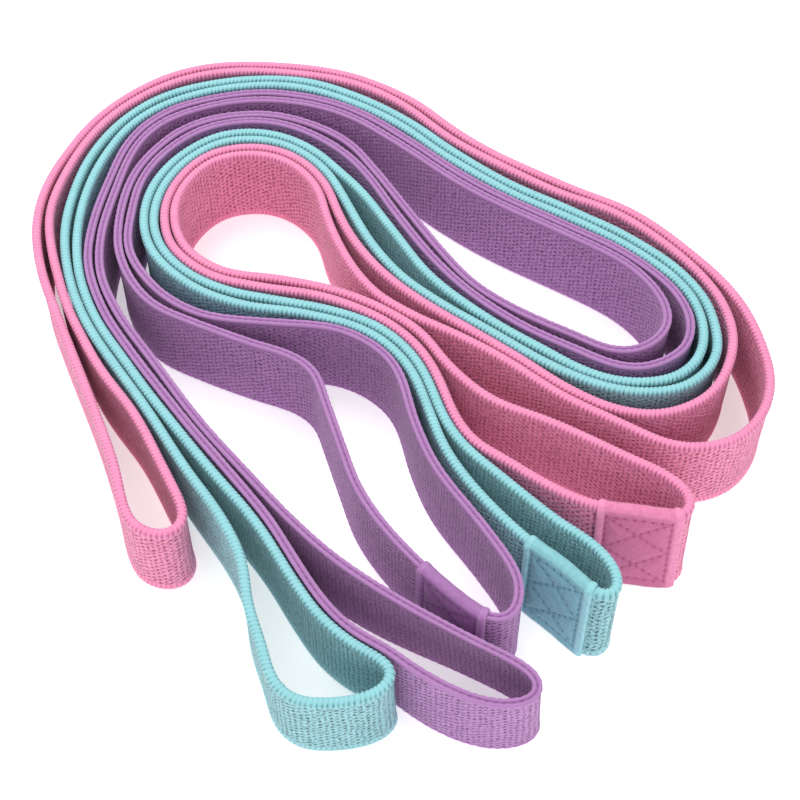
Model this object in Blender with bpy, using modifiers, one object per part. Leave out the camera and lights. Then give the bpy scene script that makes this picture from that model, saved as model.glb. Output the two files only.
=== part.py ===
"""Three long woven elastic stretching bands, laid down as one nest.

Each band is a closed loop of webbing that stands on its edge. It is doubled
into two strands, and the six strands lie side by side along one winding route.
A band is one strip of webbing, with a layer of latex yarns inside its woven
cover. Its two cut ends meet under a folded wrap, which is sewn down with a
box and a cross. Lengths are in millimetres until a shape is made.
"""

import bpy
import numpy as np

MM = 0.001

# Webbing
BAND_WIDTH = 32.0
BAND_THICKNESS = 2.8
COVER_WALL = 0.6
CORE_GAP = 0.3
ENDS_GAP = 0.8

# The sewn joint
WRAP_LENGTH = 26.0
WRAP_STEPS = 3
WRAP_WALL = 0.6
WRAP_GAP = 0.3
THREAD_RADIUS = 0.25
THREAD_GAP = 0.3
STITCH_INSET = 3.5
STITCH_LANE = 1.6
STITCH_STEP = 5.0

# The nest
STRAND_PITCH = 3.5
SAMPLE_STEP = 2.0
SETTLE_ROUNDS = 80
SETTLE_REACH = 14.0
OWN_STRAND_REACH = 30.0
SMOOTHING = 0.04
CHORD_ERROR = 0.22
LONGEST_STEP = 26.0

# Each route runs once round its band, from the middle of the sewn joint: up
# the near strand, round the nest to the free end, and back along the far one.
ROUTES = {
    "pink": [
        (74.0, -66.0), (61.0, -64.0), (47.0, -57.0), (34.0, -47.5), (23.0, -39.0), (15.5, -25.0),
        (8.5, -5.0), (0.0, 6.0), (-10.0, 13.5), (-28.0, 21.5), (-48.0, 25.5), (-67.0, 31.5),
        (-79.0, 42.5), (-83.5, 56.0), (-83.5, 69.0), (-78.5, 81.5), (-70.5, 89.0), (-59.0, 93.0),
        (-47.0, 92.0), (-36.0, 86.0), (-27.0, 74.5), (-22.0, 60.0), (-16.5, 47.5), (-8.5, 35.0),
        (0.5, 25.0), (12.0, 15.0), (26.0, 5.0), (41.0, -7.0), (56.0, -20.0), (67.0, -26.0),
        (80.0, -29.0), (91.0, -27.0), (101.5, -20.5), (108.0, -10.0), (111.5, 3.0), (110.5, 15.0),
        (106.5, 26.0), (96.0, 41.5), (77.0, 60.0), (58.0, 69.5), (40.0, 81.5), (20.0, 96.5),
        (0.0, 117.0), (-22.0, 129.5), (-50.0, 135.0), (-75.0, 133.0), (-93.0, 124.5),
        (-110.0, 107.0), (-119.0, 87.5), (-124.5, 62.0), (-121.5, 42.0), (-110.0, 11.0),
        (-99.0, -10.0), (-85.0, -30.0), (-74.5, -50.0), (-69.0, -61.0), (-66.5, -67.0),
        (-67.0, -72.0), (-71.5, -75.0), (-77.5, -74.0), (-82.5, -70.5), (-86.0, -63.0),
        (-90.0, -49.0), (-98.0, -29.0), (-107.0, -8.0), (-116.5, 14.0), (-124.0, 33.0),
        (-128.5, 54.0), (-127.5, 73.0), (-121.0, 92.5), (-108.0, 115.0), (-90.0, 130.5),
        (-68.0, 137.5), (-42.0, 137.0), (-18.0, 131.5), (4.0, 118.5), (20.0, 102.0), (34.0, 90.0),
        (58.0, 74.5), (82.5, 60.0), (97.5, 45.0), (110.0, 29.0), (116.5, 16.0), (120.5, 0.0),
        (121.5, -15.0), (117.0, -28.5), (108.5, -38.0), (97.0, -42.0), (86.0, -41.0),
        (74.0, -34.5), (50.0, -19.0), (34.0, -6.0), (20.0, 3.5), (3.0, 13.5), (-7.5, 21.5),
        (-15.5, 32.5), (-21.0, 44.0), (-26.0, 58.0), (-30.0, 73.0), (-38.0, 83.5), (-49.0, 89.5),
        (-62.0, 89.0), (-73.0, 82.5), (-79.5, 71.0), (-80.0, 56.5), (-74.5, 42.5), (-62.0, 32.5),
        (-42.0, 29.0), (-22.0, 23.5), (-5.0, 15.0), (7.0, 5.0), (16.0, -9.0), (29.0, -22.5),
        (48.0, -32.0), (72.0, -46.0), (83.5, -52.5), (89.5, -59.0), (90.5, -64.0), (87.5, -68.0),
        (81.5, -67.5),
    ],
    "aqua": [
        (49.0, -85.0), (40.0, -77.5), (30.0, -66.5), (21.0, -54.5), (13.5, -40.5), (7.5, -20.0),
        (3.0, -9.5), (-4.5, 0.0), (-16.0, 8.0), (-35.0, 14.0), (-52.0, 17.0), (-69.0, 24.0),
        (-81.0, 34.5), (-88.0, 45.5), (-91.0, 57.0), (-90.0, 68.5), (-84.0, 82.5), (-74.0, 95.0),
        (-64.0, 100.0), (-52.5, 101.0), (-41.5, 98.0), (-31.0, 90.5), (-21.5, 80.0), (-13.5, 70.0),
        (-2.0, 50.5), (10.5, 30.0), (31.0, 10.0), (48.0, -2.5), (60.0, -11.0), (70.0, -15.0),
        (80.0, -16.0), (90.0, -14.0), (97.0, -8.5), (101.0, -0.5), (102.0, 10.0), (99.0, 22.0),
        (93.0, 31.0), (80.0, 43.5), (60.0, 57.5), (39.0, 70.0), (19.0, 86.0), (3.5, 102.0),
        (-15.0, 115.5), (-32.0, 124.0), (-51.0, 127.0), (-70.0, 124.5), (-89.0, 115.5),
        (-101.0, 104.0), (-108.5, 87.5), (-113.0, 68.0), (-113.5, 48.0), (-110.0, 29.0),
        (-101.5, 9.0), (-89.5, -9.5), (-75.0, -30.0), (-60.0, -50.0), (-44.5, -70.0),
        (-32.0, -90.0), (-25.0, -101.5), (-15.5, -110.5), (-6.5, -115.5), (-2.0, -119.5),
        (-3.5, -125.5), (-10.0, -129.5), (-20.0, -131.0), (-30.0, -130.0), (-36.5, -124.0),
        (-40.5, -112.0), (-45.0, -99.0), (-48.0, -83.0), (-54.5, -69.5), (-67.5, -50.0),
        (-80.0, -30.0), (-93.0, -10.0), (-106.0, 10.0), (-114.0, 30.0), (-118.0, 50.0),
        (-117.5, 69.0), (-113.0, 89.0), (-103.0, 108.0), (-90.0, 120.0), (-72.0, 127.5),
        (-52.0, 130.0), (-34.0, 128.5), (-14.0, 119.0), (6.0, 104.5), (21.0, 89.0), (41.0, 73.0),
        (61.0, 60.5), (76.5, 51.5), (90.0, 39.0), (99.0, 28.5), (104.0, 19.5), (106.0, 8.0),
        (105.5, -3.0), (100.5, -12.0), (92.0, -18.0), (80.0, -20.0), (69.0, -18.5), (56.0, -12.5),
        (40.0, -2.0), (23.5, 10.0), (11.5, 20.0), (0.5, 30.0), (-9.5, 44.5), (-16.0, 58.0),
        (-22.0, 71.5), (-31.0, 86.0), (-42.0, 94.5), (-54.0, 97.5), (-67.0, 95.5), (-79.5, 83.0),
        (-86.0, 69.5), (-87.5, 56.5), (-83.5, 43.0), (-73.0, 32.0), (-60.0, 24.0), (-43.0, 19.5),
        (-25.0, 15.5), (-10.0, 9.0), (1.5, -1.0), (9.0, -14.0), (14.0, -30.0), (20.0, -41.0),
        (31.0, -52.5), (48.5, -70.0), (57.5, -77.0), (63.0, -83.5), (65.5, -90.0), (64.5, -95.5),
        (59.5, -96.0),
    ],
    "purple": [
        (15.5, -95.0), (5.0, -84.0), (-6.0, -70.0), (-13.5, -57.0), (-18.5, -42.0), (-24.5, -23.0),
        (-28.5, -11.5), (-36.0, -5.0), (-50.0, 0.5), (-70.0, 9.5), (-84.0, 17.5), (-93.5, 30.0),
        (-98.5, 44.0), (-99.5, 60.0), (-96.5, 79.0), (-90.0, 92.0), (-80.0, 103.0), (-66.0, 109.0),
        (-50.0, 110.5), (-34.0, 105.5), (-19.0, 95.5), (-8.5, 80.0), (3.5, 60.0), (15.5, 40.0),
        (25.0, 27.0), (40.0, 14.5), (60.0, 3.0), (70.0, -2.5), (79.0, -2.5), (86.0, 2.0),
        (90.0, 8.0), (90.5, 15.5), (86.5, 26.0), (76.0, 38.5), (60.0, 49.5), (40.0, 62.5),
        (20.0, 77.5), (0.0, 95.0), (-20.0, 110.5), (-37.0, 117.0), (-55.0, 118.5), (-75.0, 114.0),
        (-90.0, 105.0), (-98.5, 90.0), (-102.5, 70.0), (-105.0, 50.0), (-103.5, 32.0),
        (-96.0, 14.5), (-83.0, -5.0), (-66.0, -30.0), (-50.0, -50.0), (-33.0, -70.0),
        (-19.0, -84.0), (0.0, -98.0), (20.0, -110.5), (35.0, -119.0), (40.0, -124.0),
        (39.5, -129.0), (35.0, -131.0), (28.0, -131.5), (16.0, -127.5), (0.0, -117.5),
        (-15.0, -107.0), (-28.0, -91.0), (-40.0, -70.0), (-55.0, -50.0), (-71.0, -29.0),
        (-91.5, 0.0), (-103.5, 20.0), (-108.5, 38.0), (-108.5, 55.0), (-104.5, 79.0),
        (-98.5, 99.0), (-86.0, 113.0), (-70.0, 119.5), (-50.0, 122.5), (-30.0, 118.5),
        (-10.0, 108.0), (10.0, 90.0), (30.0, 73.0), (60.0, 53.5), (80.0, 40.0), (90.0, 30.0),
        (96.0, 19.0), (98.0, 9.0), (95.0, -1.5), (89.0, -6.5), (80.0, -10.0), (71.0, -9.0),
        (58.0, -2.0), (40.0, 9.0), (24.0, 23.0), (10.5, 40.0), (-1.5, 60.0), (-12.5, 80.0),
        (-24.0, 93.5), (-40.0, 104.0), (-55.0, 107.0), (-72.0, 103.5), (-86.0, 91.0),
        (-93.5, 76.5), (-95.5, 60.0), (-95.0, 43.0), (-88.0, 30.0), (-79.0, 20.0), (-66.0, 12.5),
        (-45.0, 9.5), (-20.0, 6.5), (-9.0, 0.5), (-1.0, -10.5), (5.0, -33.0), (11.5, -50.0),
        (24.5, -70.0), (31.5, -81.5), (35.5, -90.5), (35.5, -97.0), (33.5, -102.5),
        (29.0, -104.5), (24.5, -102.5),
    ],
}

COLOURS = {
    "pink": (0.80, 0.27, 0.42, 1.0),
    "aqua": (0.30, 0.66, 0.70, 1.0),
    "purple": (0.42, 0.20, 0.52, 1.0),
}
CORE_COLOUR = (0.82, 0.78, 0.66, 1.0)


def clear_scene():
    for obj in list(bpy.data.objects):
        bpy.data.objects.remove(obj, do_unlink=True)


def make_collection(name):
    collection = bpy.data.collections.new(name)
    bpy.context.scene.collection.children.link(collection)
    return collection


def make_material(name, colour, roughness):
    material = bpy.data.materials.new(name)
    material.use_nodes = True
    shader = material.node_tree.nodes["Principled BSDF"]
    shader.inputs["Base Color"].default_value = colour
    shader.inputs["Roughness"].default_value = roughness
    shader.inputs["Metallic"].default_value = 0.0
    return material


def lengths_along(line):
    """Distance from the start of an open line to each of its points."""
    steps = np.hypot(*np.diff(line, axis=0).T)
    return np.concatenate([[0.0], np.cumsum(steps)])


def even_points(closed_line, step):
    """Points evenly spread round a closed line, about step apart."""
    line = np.vstack([closed_line, closed_line[:1]])
    along = lengths_along(line)
    count = int(round(along[-1] / step))
    places = np.arange(count) * along[-1] / count
    return np.column_stack([np.interp(places, along, line[:, axis]) for axis in (0, 1)])


def smooth_loop(points, step):
    """A closed centripetal Catmull-Rom curve through the points, read at even steps."""
    points = np.array(points, float)
    before, after, last = np.roll(points, 1, 0), np.roll(points, -1, 0), np.roll(points, -2, 0)
    pieces = []
    for p0, p1, p2, p3 in zip(before, points, after, last):
        t1 = np.hypot(*(p1 - p0)) ** 0.5
        t2 = t1 + np.hypot(*(p2 - p1)) ** 0.5
        t3 = t2 + np.hypot(*(p3 - p2)) ** 0.5
        t = np.linspace(t1, t2, 24, endpoint=False)[:, None]
        a1 = (t1 - t) / t1 * p0 + t / t1 * p1
        a2 = (t2 - t) / (t2 - t1) * p1 + (t - t1) / (t2 - t1) * p2
        a3 = (t3 - t) / (t3 - t2) * p2 + (t - t2) / (t3 - t2) * p3
        b1 = (t2 - t) / t2 * a1 + t / t2 * a2
        b2 = (t3 - t) / (t3 - t1) * a2 + (t - t1) / (t3 - t1) * a3
        pieces.append((t2 - t) / (t2 - t1) * b1 + (t - t1) / (t2 - t1) * b2)
    return even_points(np.vstack(pieces), step)


def near_pairs(points, band, place, loop_length):
    """Point and segment numbers that may come too close, leaving out a point's own stretch."""
    gaps = np.hypot(points[:, None, 0] - points[None, :, 0], points[:, None, 1] - points[None, :, 1])
    apart = np.abs(place[:, None] - place[None, :])
    apart = np.minimum(apart, loop_length[:, None] - apart)
    own = (band[:, None] == band[None, :]) & (apart < OWN_STRAND_REACH)
    return np.nonzero((gaps < SETTLE_REACH) & ~own)


def settle(loops):
    """Pushes strands apart that lie closer than the pitch, and keeps each one smooth."""
    counts = [len(loop) for loop in loops]
    starts = np.cumsum([0] + counts[:-1])
    band = np.repeat(np.arange(len(loops)), counts)
    following = np.concatenate([start + (np.arange(n) + 1) % n for start, n in zip(starts, counts)])
    leading = np.concatenate([start + (np.arange(n) - 1) % n for start, n in zip(starts, counts)])
    points = np.vstack(loops)
    place = (np.arange(len(points)) - starts[band]) * SAMPLE_STEP
    loop_length = np.array(counts)[band] * SAMPLE_STEP
    first, other = near_pairs(points, band, place, loop_length)
    for _ in range(SETTLE_ROUNDS):
        here, start, end = points[first], points[other], points[following[other]]
        run = end - start
        share = np.clip(((here - start) * run).sum(1) / (run * run).sum(1), 0.0, 1.0)[:, None]
        away = here - (start + share * run)
        distance = np.hypot(*away.T)[:, None]
        push = away / distance * np.clip(STRAND_PITCH - distance, 0.0, None) * 0.5
        shift, hits = np.zeros_like(points), np.zeros((len(points), 1))
        for index, amount in ((first, push), (other, -push * (1 - share)), (following[other], -push * share)):
            np.add.at(shift, index, amount)
            np.add.at(hits, index, (np.hypot(*amount.T) > 0)[:, None])
        points = points + shift / np.maximum(hits, 1) * 1.4
        middle = (points[following] + points[leading]) / 2
        points = points + SMOOTHING * (middle - points)
    return np.split(points, starts[1:])


def centred(loops):
    """Moves the nest so that its box is centred on the origin."""
    points = np.vstack(loops)
    middle = (points.min(axis=0) + points.max(axis=0)) / 2
    return [loop - middle for loop in loops]


def nest_routes():
    loops = [smooth_loop(points, SAMPLE_STEP) for points in ROUTES.values()]
    return dict(zip(ROUTES, centred(settle(loops))))


class Strip:
    """One band's middle line, opened at its sewn joint, with places measured from there."""

    def __init__(self, loop):
        self.line = np.vstack([loop, loop[:1]])
        self.along = lengths_along(self.line)
        self.length = self.along[-1]

    def point(self, place):
        place = np.asarray(place, float) % self.length
        return np.column_stack([np.interp(place, self.along, self.line[:, axis]) for axis in (0, 1)])

    def normal(self, place):
        """Sideways direction, to the right of the way along the strip."""
        place = np.asarray(place, float)
        run = self.point(place + 1.0) - self.point(place - 1.0)
        run /= np.hypot(*run.T)[:, None]
        return np.column_stack([run[:, 1], -run[:, 0]])

    def stations(self, start, end):
        """Places between two ends, as few as keep the chords close to the line."""
        places = np.linspace(start, end, int(end - start) + 1)
        points = self.point(places)
        kept, i = [0], 0
        while i < len(places) - 1:
            j = i + 1
            while j + 1 < len(places) and self.chord_fits(points[i:j + 2]):
                j += 1
            kept.append(j)
            i = j
        return places[kept]

    @staticmethod
    def chord_fits(points):
        run = points[-1] - points[0]
        if np.hypot(*run) > LONGEST_STEP:
            return False
        across = np.abs(run[0] * (points[:, 1] - points[0, 1]) - run[1] * (points[:, 0] - points[0, 0]))
        return across.max() / np.hypot(*run) < CHORD_ERROR


def make_profile(name, corners, closed, helpers):
    """A flat cross-section that a swept strip takes, as a hidden guide curve."""
    curve = bpy.data.curves.new(name, "CURVE")
    curve.dimensions = "2D"
    spline = curve.splines.new("POLY")
    spline.points.add(len(corners) - 1)
    for point, (across, up) in zip(spline.points, corners):
        point.co = (across * MM, up * MM, 0.0, 1.0)
    spline.use_cyclic_u = closed
    guide = bpy.data.objects.new(name, curve)
    guide.hide_render = True
    guide.display_type = "WIRE"
    helpers.objects.link(guide)
    return guide


def rectangle(width, thickness):
    return [(-thickness / 2, -width / 2), (-thickness / 2, width / 2),
            (thickness / 2, width / 2), (thickness / 2, -width / 2)]


def sweep(name, points, height, profile, collection, material, caps):
    """A profile carried along a level line of points."""
    curve = bpy.data.curves.new(name, "CURVE")
    curve.dimensions = "3D"
    curve.twist_mode = "Z_UP"
    spline = curve.splines.new("POLY")
    spline.points.add(len(points) - 1)
    for point, (x, y) in zip(spline.points, points):
        point.co = (x * MM, y * MM, height * MM, 1.0)
    curve.bevel_mode = "OBJECT"
    curve.bevel_object = profile
    curve.use_fill_caps = caps
    curve.materials.append(material)
    obj = bpy.data.objects.new(name, curve)
    collection.objects.link(obj)
    return obj


def thicken(obj, wall, offset):
    solidify = obj.modifiers.new("Wall", "SOLIDIFY")
    solidify.thickness = wall * MM
    solidify.offset = offset
    solidify.use_even_offset = True


def stitch_path(length, height):
    """Box and cross in one run, as (along, up, lift) from the middle of the wrap."""
    a, b = length / 2, height / 2
    c, d = a - STITCH_LANE, b - STITCH_LANE
    corners = [(-a, b), (a, b), (a, -b), (-a, -b), (-a, d), (-c, d - STITCH_LANE / 2),
               (c, -d), (-c + STITCH_LANE, -d), (-c, -d + STITCH_LANE), (c, d)]
    crossing = len(corners) - 2
    path = []
    for number, (start, end) in enumerate(zip(corners, corners[1:])):
        run = np.subtract(end, start)
        steps = max(1, int(np.hypot(*run) / STITCH_STEP))
        for share in np.arange(steps) / steps:
            place = np.add(start, run * share)
            over = number == crossing and abs(place[0]) < STITCH_STEP
            path.append((*place, THREAD_GAP + 2 * THREAD_RADIUS if over else 0.0))
    path.append((*corners[-1], 0.0))
    return path


def make_thread(name, strip, side, collection, material):
    """A sewing thread laid over one face of the wrap, side +1 or -1."""
    lift = BAND_THICKNESS / 2 + WRAP_GAP + WRAP_WALL + THREAD_GAP + THREAD_RADIUS
    path = stitch_path(WRAP_LENGTH - 2 * STITCH_INSET, BAND_WIDTH - 2 * STITCH_INSET)
    curve = bpy.data.curves.new(name, "CURVE")
    curve.dimensions = "3D"
    spline = curve.splines.new("POLY")
    spline.points.add(len(path) - 1)
    for point, (along, up, extra) in zip(spline.points, path):
        x, y = (strip.point([along]) + strip.normal([along]) * side * (lift + extra))[0]
        point.co = (x * MM, y * MM, (BAND_WIDTH / 2 + up) * MM, 1.0)
    curve.bevel_depth = THREAD_RADIUS * MM
    curve.bevel_resolution = 0
    curve.use_fill_caps = True
    curve.materials.append(material)
    obj = bpy.data.objects.new(name, curve)
    collection.objects.link(obj)


def make_band(name, loop, profiles, collection):
    strip = Strip(loop)
    fabric = make_material(f"{name}_fabric", COLOURS[name], 0.85)
    thread = make_material(f"{name}_thread", COLOURS[name], 0.5)
    latex = make_material(f"{name}_latex", CORE_COLOUR, 0.6)
    middle = BAND_WIDTH / 2

    under_wrap = np.linspace(ENDS_GAP / 2, WRAP_LENGTH / 2, WRAP_STEPS + 1)
    beyond = strip.stations(WRAP_LENGTH / 2, strip.length - WRAP_LENGTH / 2)
    whole = strip.point(np.concatenate([under_wrap, beyond[1:-1], strip.length - under_wrap[::-1]]))
    cover = sweep(f"{name}_webbing_cover", whole, middle, profiles["cover"], collection, fabric, False)
    thicken(cover, COVER_WALL, -1.0)
    sweep(f"{name}_elastic_core", whole, middle, profiles["core"], collection, latex, True)

    joint = strip.point(np.concatenate([-under_wrap[::-1], under_wrap]))
    wrap = sweep(f"{name}_seam_wrap", joint, middle, profiles["wrap"], collection, fabric, False)
    thicken(wrap, WRAP_WALL, -1.0)

    make_thread(f"{name}_needle_thread", strip, 1, collection, thread)
    make_thread(f"{name}_bobbin_thread", strip, -1, collection, thread)


def make_profiles(helpers):
    core_width = BAND_WIDTH - 2 * (COVER_WALL + CORE_GAP)
    core_thickness = BAND_THICKNESS - 2 * (COVER_WALL + CORE_GAP)
    side = BAND_THICKNESS / 2 + WRAP_GAP + WRAP_WALL
    top = BAND_WIDTH / 2 + WRAP_GAP + WRAP_WALL
    fold = [(-side, -BAND_WIDTH / 2), (-side, top), (side, top), (side, -BAND_WIDTH / 2)]
    return {
        "cover": make_profile("cover_section", rectangle(BAND_WIDTH, BAND_THICKNESS), True, helpers),
        "core": make_profile("core_section", rectangle(core_width, core_thickness), True, helpers),
        "wrap": make_profile("wrap_section", fold, False, helpers),
    }


def main():
    clear_scene()
    parts = make_collection("stretching_bands")
    helpers = make_collection("section_guides")
    profiles = make_profiles(helpers)
    for name, loop in nest_routes().items():
        make_band(name, loop, profiles, parts)


main()
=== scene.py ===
"""The looks of three woven elastic stretching bands that lie as one nest.

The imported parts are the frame. Each band is remade here as woven faces, rolled rims, latex
yarns, a folded wrap over its sewn joint, and single stitches. Lengths are in millimetres
until a mesh is made.
"""

import math

import bpy
import numpy as np
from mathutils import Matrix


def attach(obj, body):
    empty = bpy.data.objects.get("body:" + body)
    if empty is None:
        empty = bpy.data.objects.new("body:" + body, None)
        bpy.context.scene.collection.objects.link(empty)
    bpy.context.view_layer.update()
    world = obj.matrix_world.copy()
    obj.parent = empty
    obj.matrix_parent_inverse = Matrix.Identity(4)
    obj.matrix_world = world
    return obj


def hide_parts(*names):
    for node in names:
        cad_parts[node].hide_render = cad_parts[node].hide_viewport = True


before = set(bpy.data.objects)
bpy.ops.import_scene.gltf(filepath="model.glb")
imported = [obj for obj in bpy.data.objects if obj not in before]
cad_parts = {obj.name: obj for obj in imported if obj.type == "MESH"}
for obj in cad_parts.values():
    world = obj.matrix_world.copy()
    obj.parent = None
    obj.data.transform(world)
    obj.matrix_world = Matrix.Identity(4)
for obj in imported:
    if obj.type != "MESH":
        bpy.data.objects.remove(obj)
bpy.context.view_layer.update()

MM = 0.001

# Webbing: how far each woven layer's front and back lie from the band's middle line, how
# far in from the edges it starts, how far the cloth wanders, and the gap between cut ends
BAND_WIDTH = 32.0
FACE_OUT = 1.18
FACE_BACK = 0.62
FACE_EDGE = 1.3
FACE_ROWS = 32
FACE_SWAY = 0.22
HEIGHT_SWAY = 0.25
ENDS_GAP = 0.8

# Weave: openings in staggered columns, as the shader draws them in bump and painted shade, and
# the wider dents that the mesh has there
COLUMN = 1.7
ROW = 1.9
FLOAT_SLANT = 0.30
HOLE_LONG = 0.42
HOLE_TALL = 0.40
DENT_LONG = 0.6
DENT_TALL = 0.5
DENT_DEPTH = 0.16

# The shallow furrow along each face at the foot of the rims
EDGE_DIP = 0.16
EDGE_DIP_DOWN = 2.6
EDGE_DIP_REACH = 0.7

# Rims: the valleys between the wound yarn's turns are shallower on the crown, by a share,
# and the lower rim's width is a share of the upper one's
RIB_PITCH = 1.5
RIB_VALLEY = 0.34
RIB_CREST = 0.06
RIB_SLANT = 0.22
CROWN_SHARE = 0.3
LOWER_RIM_WIDTH = 0.88
FLANK_START = 0.7
FLANK_REACH = 0.6
SLANT_START = 0.4
# Painted shade in the slits between the turns: the share of it left on the crown, how far down each face it
# reaches, and the stretch where it fades out
CROWN_SHADE = 0.12
SHADE_FOOT = 3.1
SHADE_FADE = 0.8
RIBBED_SEED = 5

# Four places in each turn of the wound yarn, as shares of it, and how deep each one lies
TURN_PLACES = (0.0, 0.16, 0.5, 0.84)
TURN_DEPTHS = (1.0, 0.22, 0.0, 0.22)

# Half of each rim's section, from its foot on a face up to the crown: the distance from
# the band's middle line, and the distance down from its edge
RIBBED_HALF = [(1.22, 3.0), (1.40, 2.5), (1.56, 1.8), (1.60, 1.1), (1.40, 0.5), (0.86, 0.12), (0.0, 0.0)]
BOUND_HALF = [(1.10, 2.5), (1.20, 2.2), (1.24, 1.9), (1.08, 1.55), (1.46, 1.15), (1.54, 0.6),
              (1.20, 0.1), (0.66, 0.0), (0.24, 0.22), (0.0, 0.40)]

# The bound edge: how far its stitches draw it in and down, and the painted shade along its
# grooves, one along the crown and one down each side
BOUND_STITCH = 2.5
PINCH_IN = 0.06
PINCH_DOWN = 0.16
SIDE_GROOVE_DOWN = 1.55
SIDE_GROOVE_REACH = 0.34
CROWN_GROOVE_REACH = 0.30
BOUND_SEED = 9

# The sewn joint: the folded tape and its fine ribs, its puff between stitch lines, the
# pits at the needle's holes, the painted shade at those pits, along the stitch lines and in
# the furrows between ribs, its hems, and how its two ends are drawn in
WRAP_LENGTH = 26.0
WRAP_INNER = 1.74
WRAP_WALL = 0.5
WRAP_RISE = 0.35
WRAP_RIB = 0.56
WRAP_RIB_HEIGHT = 0.075
WRAP_ROWS = 44
WRAP_FOOT = 0.4
CROWN_DROP = 1.6
PUFF = 0.36
PUFF_REACH = 1.7
PUFF_UNEVEN = 0.25
CROWN_PUFF = 0.8
NEEDLE_PIT = 0.35
NEEDLE_REACH = 0.42
LINE_REACH = 0.35
PIT_SHADE = 0.6
LINE_SHADE = 0.24
FURROW_SHADE = 0.2
HEM = 2.3
HEM_HEIGHT = 0.22
HEM_SLOPE = 0.4
END_DROP = 0.30
END_REACH = 0.35
STITCH_INSET = 3.0
STITCH_PITCH = 2.7
THREAD_RADIUS = 0.17
THREAD_SIDES = 6

# A stitch from one needle hole to the next: places along it as shares of its length, how
# far each stands out of the tape, and its thickness there as a share
STITCH_PLACES = np.array([0.02, 0.12, 0.3, 0.5, 0.7, 0.88, 0.98])
STITCH_RISE = np.array([-0.4, -0.12, 0.03, 0.07, 0.03, -0.12, -0.4])
STITCH_THICK = np.array([0.5, 0.9, 1, 1, 1, 0.9, 0.5])

# Latex yarns
YARN_RADIUS = 0.45
YARN_WAIST = 0.2
CORE_WIDTH = 30.0

# How far the lower edge stands out of plumb at the slack ends of the loops: the
# place along the band as a share of its length, the reach, and the shift in x and y
LEANS = {
    "pink": [(0.0, 42.0, (0.0, -6.0)), (0.5, 22.0, (-0.5, -2.5))],
    "aqua": [(0.0, 34.0, (-1.0, -4.5)), (0.485, 22.0, (1.0, 0.8))],
    "purple": [(0.526, 40.0, (2.6, 2.4)), (0.47, 34.0, (2.6, 4.0))],
}

# The nest, as the parts have it
STRAND_PITCH = 3.5
SAMPLE_STEP = 2.0
CURVE_STEPS = 24
SETTLE_ROUNDS = 80
SETTLE_REACH = 14.0
OWN_STRAND_REACH = 30.0
SMOOTHING = 0.04
PUSH_GAIN = 1.4

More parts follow.
